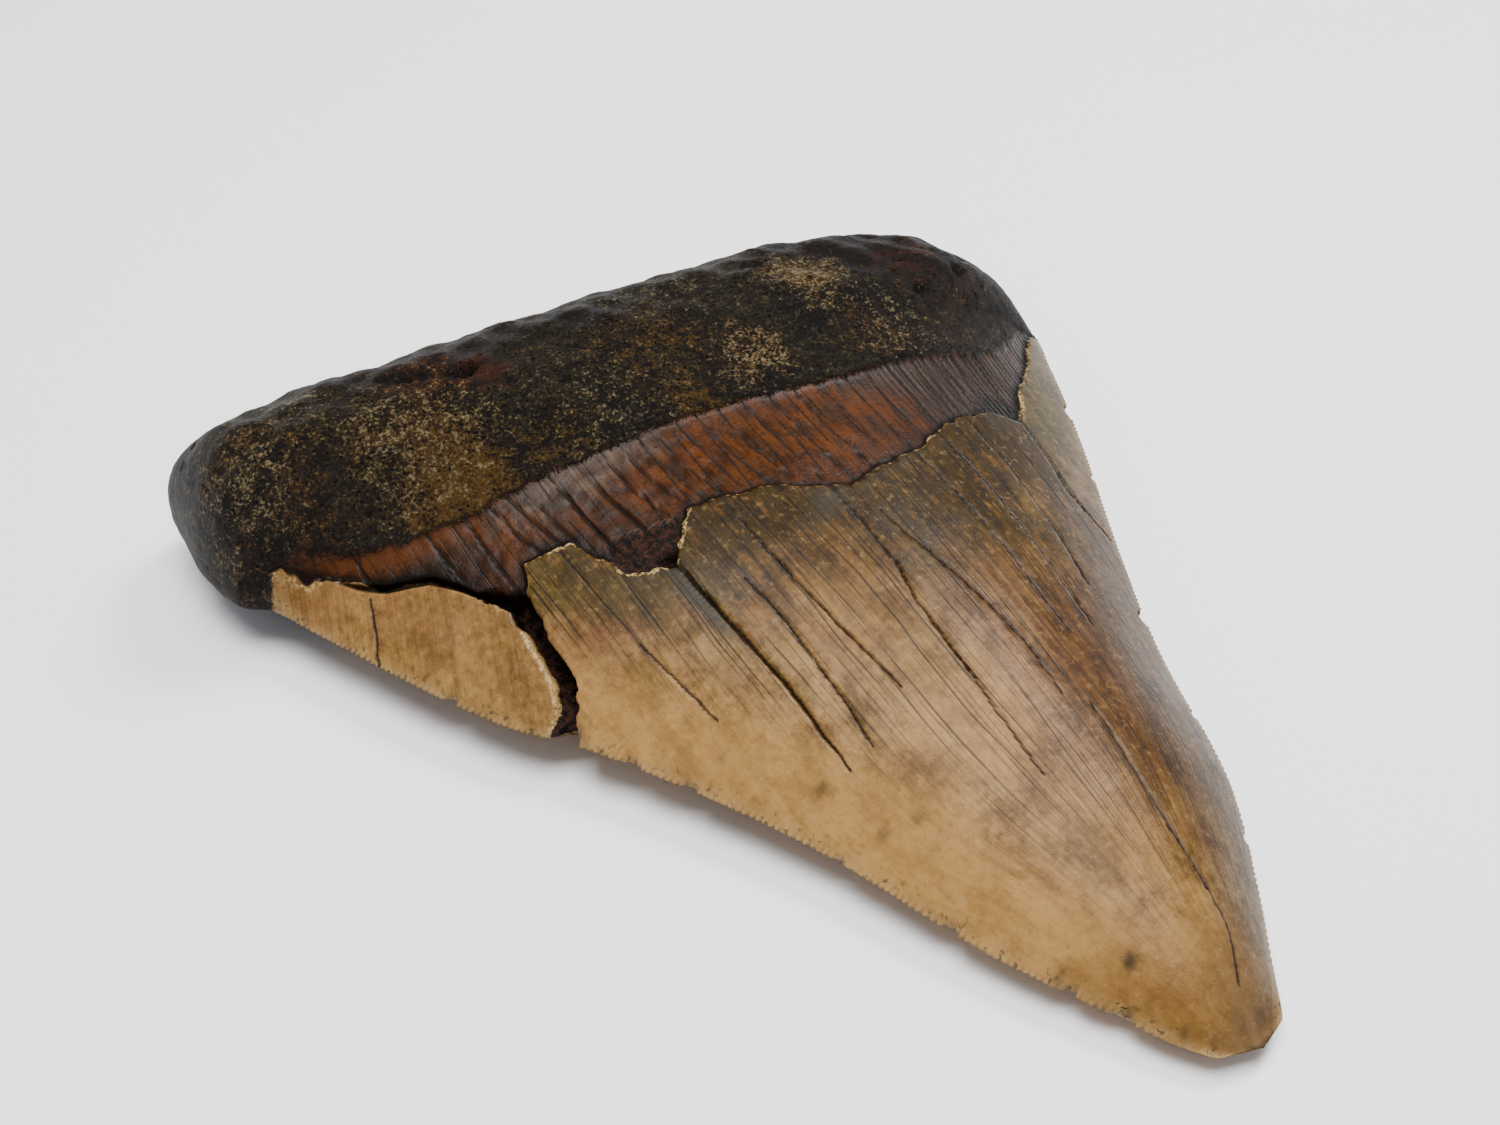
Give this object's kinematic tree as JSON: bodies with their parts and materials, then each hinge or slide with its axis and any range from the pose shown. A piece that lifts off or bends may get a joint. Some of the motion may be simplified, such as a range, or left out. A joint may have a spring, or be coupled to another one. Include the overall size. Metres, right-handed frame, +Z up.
{
  "type": "megalodon tooth",
  "caption": "Fossil megalodon tooth lying on its flat side: dark root, orange-brown bourlette band and cracked tan enamel crown with serrated edges.",
  "frame": {"origin": "middle of the outline on the surface that the tooth lies on", "axes": "+Z up out of the domed lingual side, +Y from the tip towards the root, +X across the root to the right as seen from above"},
  "size_m": [0.1142, 0.13, 0.0246],
  "materials": {
    "fossil": "Mineralised tooth: satin tan enamel with fine lengthwise grain, glossy orange-brown bourlette and matt, mottled brown-black root."
  },
  "bodies": {
    "root": {"tooth": "fossil"}
  },
  "joints": []
}
